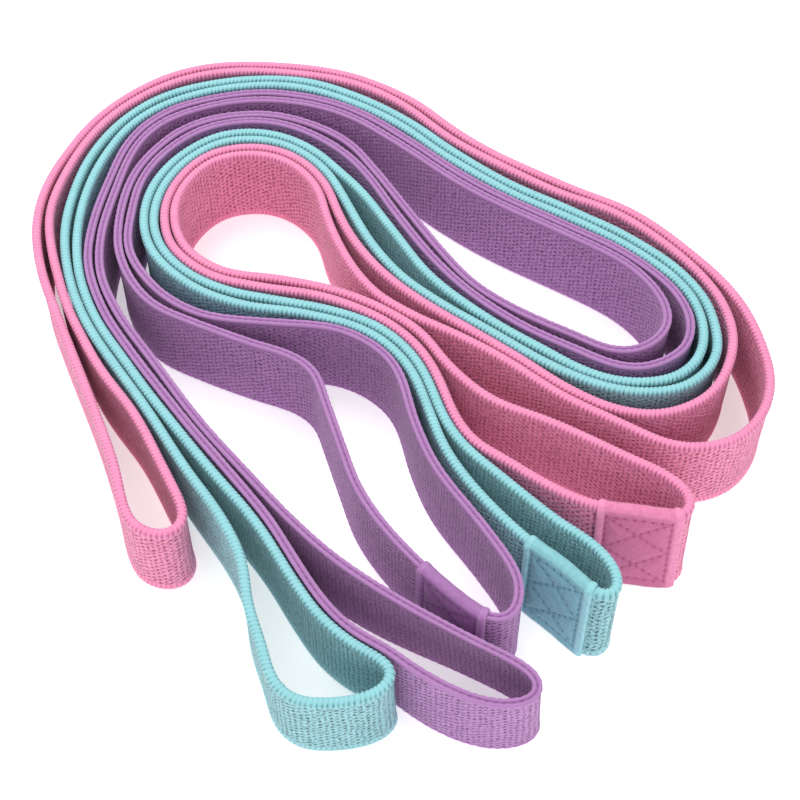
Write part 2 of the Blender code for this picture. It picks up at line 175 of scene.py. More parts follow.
# Each route runs once round its band, from the middle of the sewn joint: up
# the near strand, round the nest to the free end, and back along the far one.
ROUTES = {
    "pink": [
        (74.0, -66.0), (61.0, -64.0), (47.0, -57.0), (34.0, -47.5), (23.0, -39.0), (15.5, -25.0),
        (8.5, -5.0), (0.0, 6.0), (-10.0, 13.5), (-28.0, 21.5), (-48.0, 25.5), (-67.0, 31.5),
        (-79.0, 42.5), (-83.5, 56.0), (-83.5, 69.0), (-78.5, 81.5), (-70.5, 89.0), (-59.0, 93.0),
        (-47.0, 92.0), (-36.0, 86.0), (-27.0, 74.5), (-22.0, 60.0), (-16.5, 47.5), (-8.5, 35.0),
        (0.5, 25.0), (12.0, 15.0), (26.0, 5.0), (41.0, -7.0), (56.0, -20.0), (67.0, -26.0),
        (80.0, -29.0), (91.0, -27.0), (101.5, -20.5), (108.0, -10.0), (111.5, 3.0), (110.5, 15.0),
        (106.5, 26.0), (96.0, 41.5), (77.0, 60.0), (58.0, 69.5), (40.0, 81.5), (20.0, 96.5),
        (0.0, 117.0), (-22.0, 129.5), (-50.0, 135.0), (-75.0, 133.0), (-93.0, 124.5),
        (-110.0, 107.0), (-119.0, 87.5), (-124.5, 62.0), (-121.5, 42.0), (-110.0, 11.0),
        (-99.0, -10.0), (-85.0, -30.0), (-74.5, -50.0), (-69.0, -61.0), (-66.5, -67.0),
        (-67.0, -72.0), (-71.5, -75.0), (-77.5, -74.0), (-82.5, -70.5), (-86.0, -63.0),
        (-90.0, -49.0), (-98.0, -29.0), (-107.0, -8.0), (-116.5, 14.0), (-124.0, 33.0),
        (-128.5, 54.0), (-127.5, 73.0), (-121.0, 92.5), (-108.0, 115.0), (-90.0, 130.5),
        (-68.0, 137.5), (-42.0, 137.0), (-18.0, 131.5), (4.0, 118.5), (20.0, 102.0), (34.0, 90.0),
        (58.0, 74.5), (82.5, 60.0), (97.5, 45.0), (110.0, 29.0), (116.5, 16.0), (120.5, 0.0),
        (121.5, -15.0), (117.0, -28.5), (108.5, -38.0), (97.0, -42.0), (86.0, -41.0),
        (74.0, -34.5), (50.0, -19.0), (34.0, -6.0), (20.0, 3.5), (3.0, 13.5), (-7.5, 21.5),
        (-15.5, 32.5), (-21.0, 44.0), (-26.0, 58.0), (-30.0, 73.0), (-38.0, 83.5), (-49.0, 89.5),
        (-62.0, 89.0), (-73.0, 82.5), (-79.5, 71.0), (-80.0, 56.5), (-74.5, 42.5), (-62.0, 32.5),
        (-42.0, 29.0), (-22.0, 23.5), (-5.0, 15.0), (7.0, 5.0), (16.0, -9.0), (29.0, -22.5),
        (48.0, -32.0), (72.0, -46.0), (83.5, -52.5), (89.5, -59.0), (90.5, -64.0), (87.5, -68.0),
        (81.5, -67.5),
    ],
    "aqua": [
        (49.0, -85.0), (40.0, -77.5), (30.0, -66.5), (21.0, -54.5), (13.5, -40.5), (7.5, -20.0),
        (3.0, -9.5), (-4.5, 0.0), (-16.0, 8.0), (-35.0, 14.0), (-52.0, 17.0), (-69.0, 24.0),
        (-81.0, 34.5), (-88.0, 45.5), (-91.0, 57.0), (-90.0, 68.5), (-84.0, 82.5), (-74.0, 95.0),
        (-64.0, 100.0), (-52.5, 101.0), (-41.5, 98.0), (-31.0, 90.5), (-21.5, 80.0), (-13.5, 70.0),
        (-2.0, 50.5), (10.5, 30.0), (31.0, 10.0), (48.0, -2.5), (60.0, -11.0), (70.0, -15.0),
        (80.0, -16.0), (90.0, -14.0), (97.0, -8.5), (101.0, -0.5), (102.0, 10.0), (99.0, 22.0),
        (93.0, 31.0), (80.0, 43.5), (60.0, 57.5), (39.0, 70.0), (19.0, 86.0), (3.5, 102.0),
        (-15.0, 115.5), (-32.0, 124.0), (-51.0, 127.0), (-70.0, 124.5), (-89.0, 115.5),
        (-101.0, 104.0), (-108.5, 87.5), (-113.0, 68.0), (-113.5, 48.0), (-110.0, 29.0),
        (-101.5, 9.0), (-89.5, -9.5), (-75.0, -30.0), (-60.0, -50.0), (-44.5, -70.0),
        (-32.0, -90.0), (-25.0, -101.5), (-15.5, -110.5), (-6.5, -115.5), (-2.0, -119.5),
        (-3.5, -125.5), (-10.0, -129.5), (-20.0, -131.0), (-30.0, -130.0), (-36.5, -124.0),
        (-40.5, -112.0), (-45.0, -99.0), (-48.0, -83.0), (-54.5, -69.5), (-67.5, -50.0),
        (-80.0, -30.0), (-93.0, -10.0), (-106.0, 10.0), (-114.0, 30.0), (-118.0, 50.0),
        (-117.5, 69.0), (-113.0, 89.0), (-103.0, 108.0), (-90.0, 120.0), (-72.0, 127.5),
        (-52.0, 130.0), (-34.0, 128.5), (-14.0, 119.0), (6.0, 104.5), (21.0, 89.0), (41.0, 73.0),
        (61.0, 60.5), (76.5, 51.5), (90.0, 39.0), (99.0, 28.5), (104.0, 19.5), (106.0, 8.0),
        (105.5, -3.0), (100.5, -12.0), (92.0, -18.0), (80.0, -20.0), (69.0, -18.5), (56.0, -12.5),
        (40.0, -2.0), (23.5, 10.0), (11.5, 20.0), (0.5, 30.0), (-9.5, 44.5), (-16.0, 58.0),
        (-22.0, 71.5), (-31.0, 86.0), (-42.0, 94.5), (-54.0, 97.5), (-67.0, 95.5), (-79.5, 83.0),
        (-86.0, 69.5), (-87.5, 56.5), (-83.5, 43.0), (-73.0, 32.0), (-60.0, 24.0), (-43.0, 19.5),
        (-25.0, 15.5), (-10.0, 9.0), (1.5, -1.0), (9.0, -14.0), (14.0, -30.0), (20.0, -41.0),
        (31.0, -52.5), (48.5, -70.0), (57.5, -77.0), (63.0, -83.5), (65.5, -90.0), (64.5, -95.5),
        (59.5, -96.0),
    ],
    "purple": [
        (15.5, -95.0), (5.0, -84.0), (-6.0, -70.0), (-13.5, -57.0), (-18.5, -42.0), (-24.5, -23.0),
        (-28.5, -11.5), (-36.0, -5.0), (-50.0, 0.5), (-70.0, 9.5), (-84.0, 17.5), (-93.5, 30.0),
        (-98.5, 44.0), (-99.5, 60.0), (-96.5, 79.0), (-90.0, 92.0), (-80.0, 103.0), (-66.0, 109.0),
        (-50.0, 110.5), (-34.0, 105.5), (-19.0, 95.5), (-8.5, 80.0), (3.5, 60.0), (15.5, 40.0),
        (25.0, 27.0), (40.0, 14.5), (60.0, 3.0), (70.0, -2.5), (79.0, -2.5), (86.0, 2.0),
        (90.0, 8.0), (90.5, 15.5), (86.5, 26.0), (76.0, 38.5), (60.0, 49.5), (40.0, 62.5),
        (20.0, 77.5), (0.0, 95.0), (-20.0, 110.5), (-37.0, 117.0), (-55.0, 118.5), (-75.0, 114.0),
        (-90.0, 105.0), (-98.5, 90.0), (-102.5, 70.0), (-105.0, 50.0), (-103.5, 32.0),
        (-96.0, 14.5), (-83.0, -5.0), (-66.0, -30.0), (-50.0, -50.0), (-33.0, -70.0),
        (-19.0, -84.0), (0.0, -98.0), (20.0, -110.5), (35.0, -119.0), (40.0, -124.0),
        (39.5, -129.0), (35.0, -131.0), (28.0, -131.5), (16.0, -127.5), (0.0, -117.5),
        (-15.0, -107.0), (-28.0, -91.0), (-40.0, -70.0), (-55.0, -50.0), (-71.0, -29.0),
        (-91.5, 0.0), (-103.5, 20.0), (-108.5, 38.0), (-108.5, 55.0), (-104.5, 79.0),
        (-98.5, 99.0), (-86.0, 113.0), (-70.0, 119.5), (-50.0, 122.5), (-30.0, 118.5),
        (-10.0, 108.0), (10.0, 90.0), (30.0, 73.0), (60.0, 53.5), (80.0, 40.0), (90.0, 30.0),
        (96.0, 19.0), (98.0, 9.0), (95.0, -1.5), (89.0, -6.5), (80.0, -10.0), (71.0, -9.0),
        (58.0, -2.0), (40.0, 9.0), (24.0, 23.0), (10.5, 40.0), (-1.5, 60.0), (-12.5, 80.0),
        (-24.0, 93.5), (-40.0, 104.0), (-55.0, 107.0), (-72.0, 103.5), (-86.0, 91.0),
        (-93.5, 76.5), (-95.5, 60.0), (-95.0, 43.0), (-88.0, 30.0), (-79.0, 20.0), (-66.0, 12.5),
        (-45.0, 9.5), (-20.0, 6.5), (-9.0, 0.5), (-1.0, -10.5), (5.0, -33.0), (11.5, -50.0),
        (24.5, -70.0), (31.5, -81.5), (35.5, -90.5), (35.5, -97.0), (33.5, -102.5),
        (29.0, -104.5), (24.5, -102.5),
    ],
}

# Colours as the eye sees them, from 0 to 255
# The deep tone is what painted shade mixes to in openings, slits, grooves and needle pits; random darker
# patches mix to it too
COLOURS = {
    "pink": {"face": (242, 150, 186), "deep": (148, 36, 80), "rim": (228, 140, 180),
             "wrap": (196, 108, 152), "hem": (218, 134, 172), "thread": (156, 60, 102)},
    "aqua": {"face": (158, 206, 214), "deep": (24, 84, 96), "rim": (140, 200, 206),
             "wrap": (130, 188, 204), "hem": (150, 208, 218), "thread": (58, 120, 140)},
    "purple": {"face": (188, 136, 194), "deep": (92, 34, 98), "rim": (168, 120, 174),
               "wrap": (156, 98, 164), "hem": (176, 124, 184), "thread": (96, 48, 112)},
}
LATEX = (226, 216, 184)

CAMERA_DISTANCE = 557.7
CAMERA_ELEVATION = 53.0
CAMERA_LENS = 72.0
CAMERA_SENSOR = 36.0
CAMERA_CLIP = (0.01, 20.0)

# Stage: lengths are in metres here, and each light has its place, size and watts
FLOOR_SIZE = 6.0
FLOOR_DROP = 0.0002
FLOOR_GLOW = 0.42
WORLD_LIGHT = 0.86
LIGHTS = {
    "key": ((-0.35, 0.45, 1.0), 0.8, 8.0),
    "fill": ((0.3, -0.9, 0.7), 0.7, 3.0),
}


# ---------------------------------------------------------------- routes

def lengths_along(line):
    """Distance from the start of an open line to each of its points."""
    steps = np.hypot(*np.diff(line, axis=0).T)
    return np.concatenate([[0.0], np.cumsum(steps)])


def even_points(closed_line, step):
    """Points evenly spread round a closed line, about step apart."""
    line = np.vstack([closed_line, closed_line[:1]])
    along = lengths_along(line)
    count = int(round(along[-1] / step))
    places = np.arange(count) * along[-1] / count
    return np.column_stack([np.interp(places, along, line[:, axis]) for axis in (0, 1)])


def smooth_loop(points, step):
    """A closed centripetal Catmull-Rom curve through the points, read at even steps."""
    points = np.array(points, float)
    before, after, last = np.roll(points, 1, 0), np.roll(points, -1, 0), np.roll(points, -2, 0)
    pieces = []
    for p0, p1, p2, p3 in zip(before, points, after, last):
        t1 = np.hypot(*(p1 - p0)) ** 0.5
        t2 = t1 + np.hypot(*(p2 - p1)) ** 0.5
        t3 = t2 + np.hypot(*(p3 - p2)) ** 0.5
        t = np.linspace(t1, t2, CURVE_STEPS, endpoint=False)[:, None]
        a1 = (t1 - t) / t1 * p0 + t / t1 * p1
        a2 = (t2 - t) / (t2 - t1) * p1 + (t - t1) / (t2 - t1) * p2
        a3 = (t3 - t) / (t3 - t2) * p2 + (t - t2) / (t3 - t2) * p3
        b1 = (t2 - t) / t2 * a1 + t / t2 * a2
        b2 = (t3 - t) / (t3 - t1) * a2 + (t - t1) / (t3 - t1) * a3
        pieces.append((t2 - t) / (t2 - t1) * b1 + (t - t1) / (t2 - t1) * b2)
    return even_points(np.vstack(pieces), step)


def near_pairs(points, band, place, loop_length):
    """Point and segment numbers that may come too close, leaving out a point's own stretch."""
    gaps = np.hypot(points[:, None, 0] - points[None, :, 0], points[:, None, 1] - points[None, :, 1])
    apart = np.abs(place[:, None] - place[None, :])
    apart = np.minimum(apart, loop_length[:, None] - apart)
    own = (band[:, None] == band[None, :]) & (apart < OWN_STRAND_REACH)
    return np.nonzero((gaps < SETTLE_REACH) & ~own)


def settle(loops):
    """Pushes strands apart that lie closer than the pitch, and keeps each one smooth."""
    counts = [len(loop) for loop in loops]
    starts = np.cumsum([0] + counts[:-1])
    band = np.repeat(np.arange(len(loops)), counts)
    following = np.concatenate([start + (np.arange(n) + 1) % n for start, n in zip(starts, counts)])
    leading = np.concatenate([start + (np.arange(n) - 1) % n for start, n in zip(starts, counts)])
    points = np.vstack(loops)
    place = (np.arange(len(points)) - starts[band]) * SAMPLE_STEP
    loop_length = np.array(counts)[band] * SAMPLE_STEP
    first, other = near_pairs(points, band, place, loop_length)
    for _ in range(SETTLE_ROUNDS):
        here, start, end = points[first], points[other], points[following[other]]
        run = end - start
        share = np.clip(((here - start) * run).sum(1) / (run * run).sum(1), 0.0, 1.0)[:, None]
        away = here - (start + share * run)
        distance = np.hypot(*away.T)[:, None]
        push = away / distance * np.clip(STRAND_PITCH - distance, 0.0, None) * 0.5
        shift, hits = np.zeros_like(points), np.zeros((len(points), 1))
        for index, amount in ((first, push), (other, -push * (1 - share)), (following[other], -push * share)):
            np.add.at(shift, index, amount)
            np.add.at(hits, index, (np.hypot(*amount.T) > 0)[:, None])
        points = points + shift / np.maximum(hits, 1) * PUSH_GAIN
        middle = (points[following] + points[leading]) / 2
        points = points + SMOOTHING * (middle - points)
    return np.split(points, starts[1:])


def nest_routes():
    """The settled loops by band, centred on the origin, and how far centring moved them."""
    loops = settle([smooth_loop(points, SAMPLE_STEP) for points in ROUTES.values()])
    points = np.vstack(loops)
    middle = (points.min(axis=0) + points.max(axis=0)) / 2
    return {name: loop - middle for name, loop in zip(ROUTES, loops)}, -middle


class Route:
    """A band's middle line, read at any distance from the middle of its sewn joint."""

    FINE = 10

    def __init__(self, name, loop):
        self.name = name
        p0, p1, p2, p3 = (np.roll(loop, shift, 0)[:, None] for shift in (1, 0, -1, -2))
        t = (np.arange(self.FINE) / self.FINE)[None, :, None]
        fine = 0.5 * (2 * p1 + (p2 - p0) * t + (2 * p0 - 5 * p1 + 4 * p2 - p3) * t**2
                      + (3 * p1 - p0 - 3 * p2 + p3) * t**3)
        line = fine.reshape(-1, 2)
        run = np.roll(line, -3, 0) - np.roll(line, 3, 0)
        run /= np.hypot(*run.T)[:, None]
        closed = np.vstack([line, line[:1]])
        self.along = lengths_along(closed)
        self.length = self.along[-1]
        area = (line[:, 0] * np.roll(line[:, 1], -1) - np.roll(line[:, 0], -1) * line[:, 1]).sum()
        turn = math.copysign(1.0, area)
        out = np.column_stack([run[:, 1], -run[:, 0]]) * turn
        self.table = np.hstack([closed, np.vstack([out, out[:1]])])
        rng = np.random.default_rng(sum(map(ord, name)))
        self.waves = [(rng.integers(8, 60), rng.uniform(0, 2 * np.pi)) for _ in range(6)]

    def ripple(self, place, first):
        """A slow irregular wave from -1 to 1 that closes round the loop."""
        angle = 2 * np.pi * np.asarray(place) / self.length
        return sum(np.sin(n * angle + phase) for n, phase in self.waves[first:first + 3]) / 3

    def at(self, place, out, height):
        """Points, in metres, at places along the band, distances outwards, and heights."""
        place, out, height = np.broadcast_arrays(place, out, height)
        x, y, out_x, out_y = (np.interp(place % self.length, self.along, column) for column in self.table.T)
        share = height / BAND_WIDTH
        out = out + FACE_SWAY * self.ripple(place, 0) * np.sin(np.pi * np.clip(share, 0, 1))
        height = height + HEIGHT_SWAY * self.ripple(place, 3) * np.clip(share, 0, 1) ** 2
        for centre, reach, (lean_x, lean_y) in LEANS[self.name]:
            away = (place - centre * self.length + self.length / 2) % self.length - self.length / 2
            lean = np.exp(-((away / reach) ** 2)) * np.clip(1 - share, 0, 1)
            x, y = x + lean * lean_x, y + lean * lean_y
        return np.stack([x + out_x * out, y + out_y * out, height], axis=-1) * MM

    def stations(self, step):
        """Places from one cut end of the strip to the other, about step apart."""
        span = self.length - ENDS_GAP
        return ENDS_GAP / 2 + np.linspace(0.0, span, int(round(span / step)) + 1)


# ---------------------------------------------------------------- meshes

def skin_faces(n, m):
    """Quads between n closed sections of m points, and a cap at each end."""
    number = np.arange(n * m).reshape(n, m)
    a, b = number[:-1], number[1:]
    quads = np.stack([a, b, np.roll(b, -1, 1), np.roll(a, -1, 1)], -1).reshape(-1, 4)
    return quads, number[0], number[-1][::-1]


def volume(points, quads):
    """A measure of the space inside the quads, below zero where they face inwards."""
    a, b, c, d = (points[quads[:, k]] for k in range(4))
    return (np.cross(b, c) * a).sum() + (np.cross(c, d) * a).sum()


def make_skins(name, parts, body, material):
    """One object from closed skins, each given as points (n, m, 3), weave (n, m, 2) and painted shade (n, m).
    """
    points, weave, depth, loops, totals = [], [], [], [], []
    start = 0
    for grid, uv, deep in parts:
        n, m = grid.shape[:2]
        flat = grid.reshape(-1, 3)
        quads, first, last = skin_faces(n, m)
        if volume(flat, quads) < 0:
            quads, first, last = quads[:, ::-1], first[::-1], last[::-1]
        loops += [start + quads.ravel(), start + first, start + last]
        totals += [np.full(len(quads), 4), [m], [m]]
        points.append(flat)
        weave.append(uv.reshape(-1, 2))
        depth.append(deep.ravel())
        start += n * m
    points, weave, depth = np.vstack(points), np.vstack(weave), np.concatenate(depth)
    loops, totals = np.concatenate(loops).astype(np.int32), np.concatenate(totals).astype(np.int32)
    mesh = bpy.data.meshes.new(name)
    mesh.vertices.add(len(points))
    mesh.vertices.foreach_set("co", points.astype(np.float32).ravel())
    mesh.loops.add(len(loops))
    mesh.loops.foreach_set("vertex_index", loops)
    mesh.polygons.add(len(totals))
    mesh.polygons.foreach_set("loop_start", np.concatenate([[0], np.cumsum(totals)[:-1]]).astype(np.int32))
    mesh.uv_layers.new(name="Weave").data.foreach_set("uv", weave[loops].astype(np.float32).ravel())
    mesh.attributes.new("Depth", "FLOAT", "POINT").data.foreach_set("value", depth.astype(np.float32))
    mesh.update(calc_edges=True)
    mesh.validate()
    mesh.shade_smooth()
    mesh.materials.append(material)
    obj = bpy.data.objects.new(name, mesh)
    bpy.context.scene.collection.objects.link(obj)
    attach(obj, body)
    return obj


# ---------------------------------------------------------------- materials

def linear(colour):
    """A colour from 0 to 255 as the shader takes it."""
    values = [c / 255 for c in colour]
    return [v / 12.92 if v <= 0.04045 else ((v + 0.055) / 1.055) ** 2.4 for v in values] + [1.0]


class Shader:
    """A material with one Principled shader, and short ways to add nodes to it."""

    # A Mix node has sockets for every kind of data; these are its colour ones.
    MIX_A, MIX_B, MIX_RESULT = 6, 7, 2

    SHEEN_ROUGHNESS = 0.45

    def __init__(self, name, sheen, specular=0.25):
        self.material = bpy.data.materials.new(name)
        self.material.use_nodes = True
        self.tree = self.material.node_tree
        self.principled = self.tree.nodes["Principled BSDF"]
        self.principled.inputs["Sheen Weight"].default_value = sheen
        self.principled.inputs["Sheen Roughness"].default_value = self.SHEEN_ROUGHNESS
        self.principled.inputs["Specular IOR Level"].default_value = specular

    def node(self, kind, *values, **settings):
        node = self.tree.nodes.new(kind)
        for key, value in settings.items():
            setattr(node, key, value)
        for socket, value in zip(node.inputs, values):
            self.put(socket, value)
        return node

    def put(self, socket, value):
        if isinstance(value, bpy.types.NodeSocket):
            self.tree.links.new(value, socket)
        elif value is not None:
            socket.default_value = value

    def math(self, operation, *values):
        return self.node("ShaderNodeMath", *values, operation=operation).outputs[0]

    def add(self, a, b):
        return self.math("ADD", a, b)

    def mul(self, a, b):
        return self.math("MULTIPLY", a, b)

    def weave(self):
        """Distance along the band and height up it, in millimetres."""
        uv = self.node("ShaderNodeUVMap", uv_map="Weave").outputs[0]
        split = self.node("ShaderNodeSeparateXYZ", uv)
        return split.outputs[0], split.outputs[1]

    # The painted shade, from 0 to 1, that the mesh carries at each point
    def depth(self):
        return self.node("ShaderNodeAttribute", attribute_name="Depth").outputs["Fac"]

    def noise(self, size, detail=2.0, stretch=(1.0, 1.0, 1.0)):
        """Noise from 0 to 1 with lumps of about size millimetres."""
        place = self.node("ShaderNodeTexCoord").outputs["Object"]
        place = self.node("ShaderNodeVectorMath", place, stretch, operation="MULTIPLY").outputs[0]
        node = self.node("ShaderNodeTexNoise")
        self.put(node.inputs["Vector"], place)
        node.inputs["Scale"].default_value = 1.0 / (size * MM)
        node.inputs["Detail"].default_value = detail
        return node.outputs[0]

    def span(self, value, low, high, to_low=0.0, to_high=1.0):
        node = self.node("ShaderNodeMapRange", value, low, high, to_low, to_high)
        return node.outputs[0]

    def mix(self, factor, a, b):
        node = self.node("ShaderNodeMix", data_type="RGBA")
        self.put(node.inputs["Factor"], factor)
        self.put(node.inputs[self.MIX_A], a)
        self.put(node.inputs[self.MIX_B], b)
        return node.outputs[self.MIX_RESULT]

    def finish(self, colour, roughness, height=None, relief=0.0):
        self.put(self.principled.inputs["Base Color"], colour)
        self.put(self.principled.inputs["Roughness"], roughness)
        if height is not None:
            bump = self.node("ShaderNodeBump")
            bump.inputs["Strength"].default_value = 1.0
            bump.inputs["Distance"].default_value = relief * MM
            self.put(bump.inputs["Height"], height)
            self.put(self.principled.inputs["Normal"], bump.outputs[0])
        return self.material


def face_material(name, kind, tones, light, open_weave):
    """Double cloth: floats that pass over each other, with openings in staggered columns painted dark as
    shade, and dark flecks.
    """
    s = Shader(f"{name}_{kind}_face", sheen=0.2)
    across, up = s.weave()
    sway = s.span(s.noise(6.0), 0.3, 0.7, -0.16, 0.16)
    place = s.add(s.mul(across, 1 / COLUMN), sway)
    column = s.math("FLOOR", s.add(place, 0.5))
    aside = s.math("SUBTRACT", place, column)
    level = s.add(s.mul(up, 1 / ROW), s.mul(column, 0.5))
    level = s.add(level, s.add(s.mul(aside, FLOAT_SLANT), sway))
    beside = s.math("SUBTRACT", s.math("FRACT", level), 0.5)
    far_along = s.math("POWER", s.math("ABSOLUTE", s.mul(aside, COLUMN / HOLE_LONG)), 2.0)
    far_up = s.math("POWER", s.math("ABSOLUTE", s.mul(beside, ROW / HOLE_TALL)), 2.0)
    hole = s.math("EXPONENT", s.mul(s.add(far_along, far_up), -1.0))
    odd = s.math("MODULO", s.math("ABSOLUTE", column), 2.0)
    uneven = s.span(s.noise(2.2), 0.32, 0.62, 0.45, 1.0)
    strong = s.mul(s.add(s.mul(odd, 0.2 * open_weave), 0.8 * open_weave), uneven)
    hole = s.mul(hole, strong)
    yarn = s.math("COSINE", s.mul(beside, 2 * math.pi))
    dash = s.math("COSINE", s.mul(s.add(s.mul(across, 2 / COLUMN), s.mul(up, 1 / ROW)), 2 * math.pi))
    fleck = s.span(s.noise(0.8, 3.0, (1.0, 1.0, 0.8)), 0.46, 0.66)
    fleck = s.mul(fleck, s.span(dash, -1.0, 1.0, 0.35, 1.0))
    fibre = s.noise(0.35, 3.0)
    height = s.add(s.mul(hole, -1.0), s.add(s.mul(yarn, -0.22), s.mul(fibre, 0.4)))
    height = s.add(height, s.mul(fleck, -0.45))
    cloud = s.span(s.noise(14.0), 0.3, 0.7)
    # light: how much of the darker rim tone this layer takes. The inner layer takes more, as painted shade
    # for the side turned into the loops.
    bright = s.mix(light, linear(tones["face"]), linear(tones["rim"]))
    base = s.mix(cloud, s.mix(0.1, bright, linear(tones["deep"])), bright)
    base = s.mix(s.span(fibre, 0.35, 0.75, 0.0, 0.4), base, linear(tones["rim"]))
    # Painted shade in the openings, stronger in every other column, together with the dark flecks
    shade = s.math("MINIMUM", s.add(s.mul(hole, 1.3), s.mul(fleck, 0.75)), 0.95)
    colour = s.mix(shade, base, linear(tones["deep"]))
    rough = s.span(fibre, 0.2, 0.8, 0.62, 0.86)
    return s.finish(colour, rough, height, 0.4)


def rim_material(name, tones, upper):
    """Edge yarn with painted shade in the slits between its turns on a ribbed rim, and along its stitched
    grooves on a bound rim.
    """
    s = Shader(f"{name}_{'upper' if upper else 'lower'}_rim", sheen=0.25)
    fibre = s.noise(0.3, 3.0)
    cloud = s.span(s.noise(8.0), 0.3, 0.7)
    # The lower rim, the same yarn as the upper one, is painted in the lighter face tone, with fainter painted
    # shade in its slits
    bright = linear(tones["rim" if upper else "face"])
    base = s.mix(cloud, s.mix(0.08, bright, linear(tones["deep"])), bright)
    base = s.mix(s.span(fibre, 0.35, 0.75, 0.0, 0.35), base, linear(tones["face"]))
    # Painted shade in the slits and grooves
    painted_slit_shade = s.mul(s.depth(), 0.82 if upper else 0.6)
    colour = s.mix(painted_slit_shade, base, linear(tones["deep"]))
    rough = s.span(fibre, 0.2, 0.8, 0.6, 0.85)
    return s.finish(colour, rough, fibre if upper else None, 0.14)


def wrap_material(name, tones):
    """Fine-ribbed tape, plain along its folded hems, with painted shade where the needle went through, along
    the stitch lines and in the furrows between ribs.
    """
    s = Shader(f"{name}_wrap", sheen=0.2)
    across, up = s.weave()
    pick = s.math("COSINE", s.mul(up, 2 * math.pi / 0.9))
    fibre = s.noise(0.28, 3.0)
    at_hem = s.span(s.math("ABSOLUTE", across), WRAP_LENGTH / 2 - HEM - 0.25, WRAP_LENGTH / 2 - HEM + 0.05)
    base = s.mix(at_hem, linear(tones["wrap"]), linear(tones["hem"]))
    base = s.mix(s.span(fibre, 0.3, 0.8, 0.0, 0.4), base, linear(tones["face"]))
    # Painted highlight: the tape turns toward the lighter rim tone where it crosses over the top edge
    base = s.mix(s.span(up, BAND_WIDTH - 1.8, BAND_WIDTH - 0.2, 0.0, 0.85), base, linear(tones["rim"]))
    worn = s.span(s.noise(1.6), 0.35, 0.65, 0.0, 0.16)
    base = s.mix(worn, base, linear(tones["deep"]))
    # Painted shade at the needle pits, along the stitch lines and in the rib furrows
    colour = s.mix(s.math("MINIMUM", s.depth(), 0.9), base, linear(tones["deep"]))
    rough = s.span(fibre, 0.2, 0.8, 0.5, 0.75)
    return s.finish(colour, rough, s.add(fibre, s.mul(pick, 0.2)), 0.1)


def thread_material(name, tones):
    s = Shader(f"{name}_thread", sheen=0.1, specular=0.4)
    fibre = s.noise(0.15, 2.0)
    colour = s.mix(s.span(fibre, 0.3, 0.7), linear(tones["thread"]), linear(tones["wrap"]))
    return s.finish(colour, s.span(fibre, 0.3, 0.7, 0.4, 0.6), fibre, 0.05)


def latex_material(name):
    s = Shader(f"{name}_latex", sheen=0.0, specular=0.4)
    cloud = s.noise(2.0, 3.0)
    colour = s.mix(cloud, linear(LATEX), linear([c * 0.86 for c in LATEX]))
    return s.finish(colour, 0.5)


# ---------------------------------------------------------------- pieces

def make_face(route, side, material):
    """One woven layer of the band: side 1 looks out of the loop, and -1 into it."""
    name = f"{route.name}_{'outer' if side > 0 else 'inner'}_face"
    place = route.stations(COLUMN / 2)
    rows = np.arange(FACE_EDGE, BAND_WIDTH - FACE_EDGE + 0.01, (BAND_WIDTH - 2 * FACE_EDGE) / (FACE_ROWS - 1))
    column = np.round(place / COLUMN)[:, None]
    aside = place[:, None] - column * COLUMN
    level = rows[None, :] / ROW + column * 0.5 + aside / COLUMN * FLOAT_SLANT
    beside = (level % 1.0 - 0.5) * ROW
    dent = np.exp(-((aside / DENT_LONG) ** 2) - (beside / DENT_TALL) ** 2)
    from_rim = np.minimum(rows, BAND_WIDTH - rows)[None, :] - EDGE_DIP_DOWN
    front = FACE_OUT - DENT_DEPTH * dent - EDGE_DIP * np.exp(-((from_rim / EDGE_DIP_REACH) ** 2))
    back_rows = rows[[-1, FACE_ROWS // 2 - 1, 0]]
    heights = np.concatenate([rows, back_rows])
    out = np.hstack([front, np.full((len(place), 3), FACE_BACK)]) * side
    grid = route.at(place[:, None], out, heights[None, :])
    weave = np.stack(np.broadcast_arrays(place[:, None], heights[None, :]), -1)
    depth = np.zeros(out.shape)
    return make_skins(name, [(grid, weave, depth)], f"{route.name}_band", material)


def rib_places(route, rng):
    """Four places for each turn of the edge yarn, their depths from 0 to 1, and the turn's size."""
    span = route.length - ENDS_GAP
    count = int(span / RIB_PITCH)
    turns = np.cumsum(rng.uniform(0.9, 1.1, count))
    starts = ENDS_GAP / 2 + np.concatenate([[0.0], turns]) * span / turns[-1]
    place = (starts[:-1, None] + np.array(TURN_PLACES) * np.diff(starts)[:, None]).ravel()
    low = np.tile(TURN_DEPTHS, count)
    size = np.repeat(rng.uniform(0.7, 1.2, count), len(TURN_PLACES))
    return np.append(place, starts[-1]), np.append(low, 1.0), np.append(size, 1.0)


def rim_section(half, top):
    """Distances across and down for a rim's whole section, from one face over to the other."""
    across, down = np.array(half).T
    across = np.concatenate([-across[:-1], across[::-1]])
    down = np.concatenate([down[:-1], down[::-1]])
    return (across if top else across * LOWER_RIM_WIDTH), down


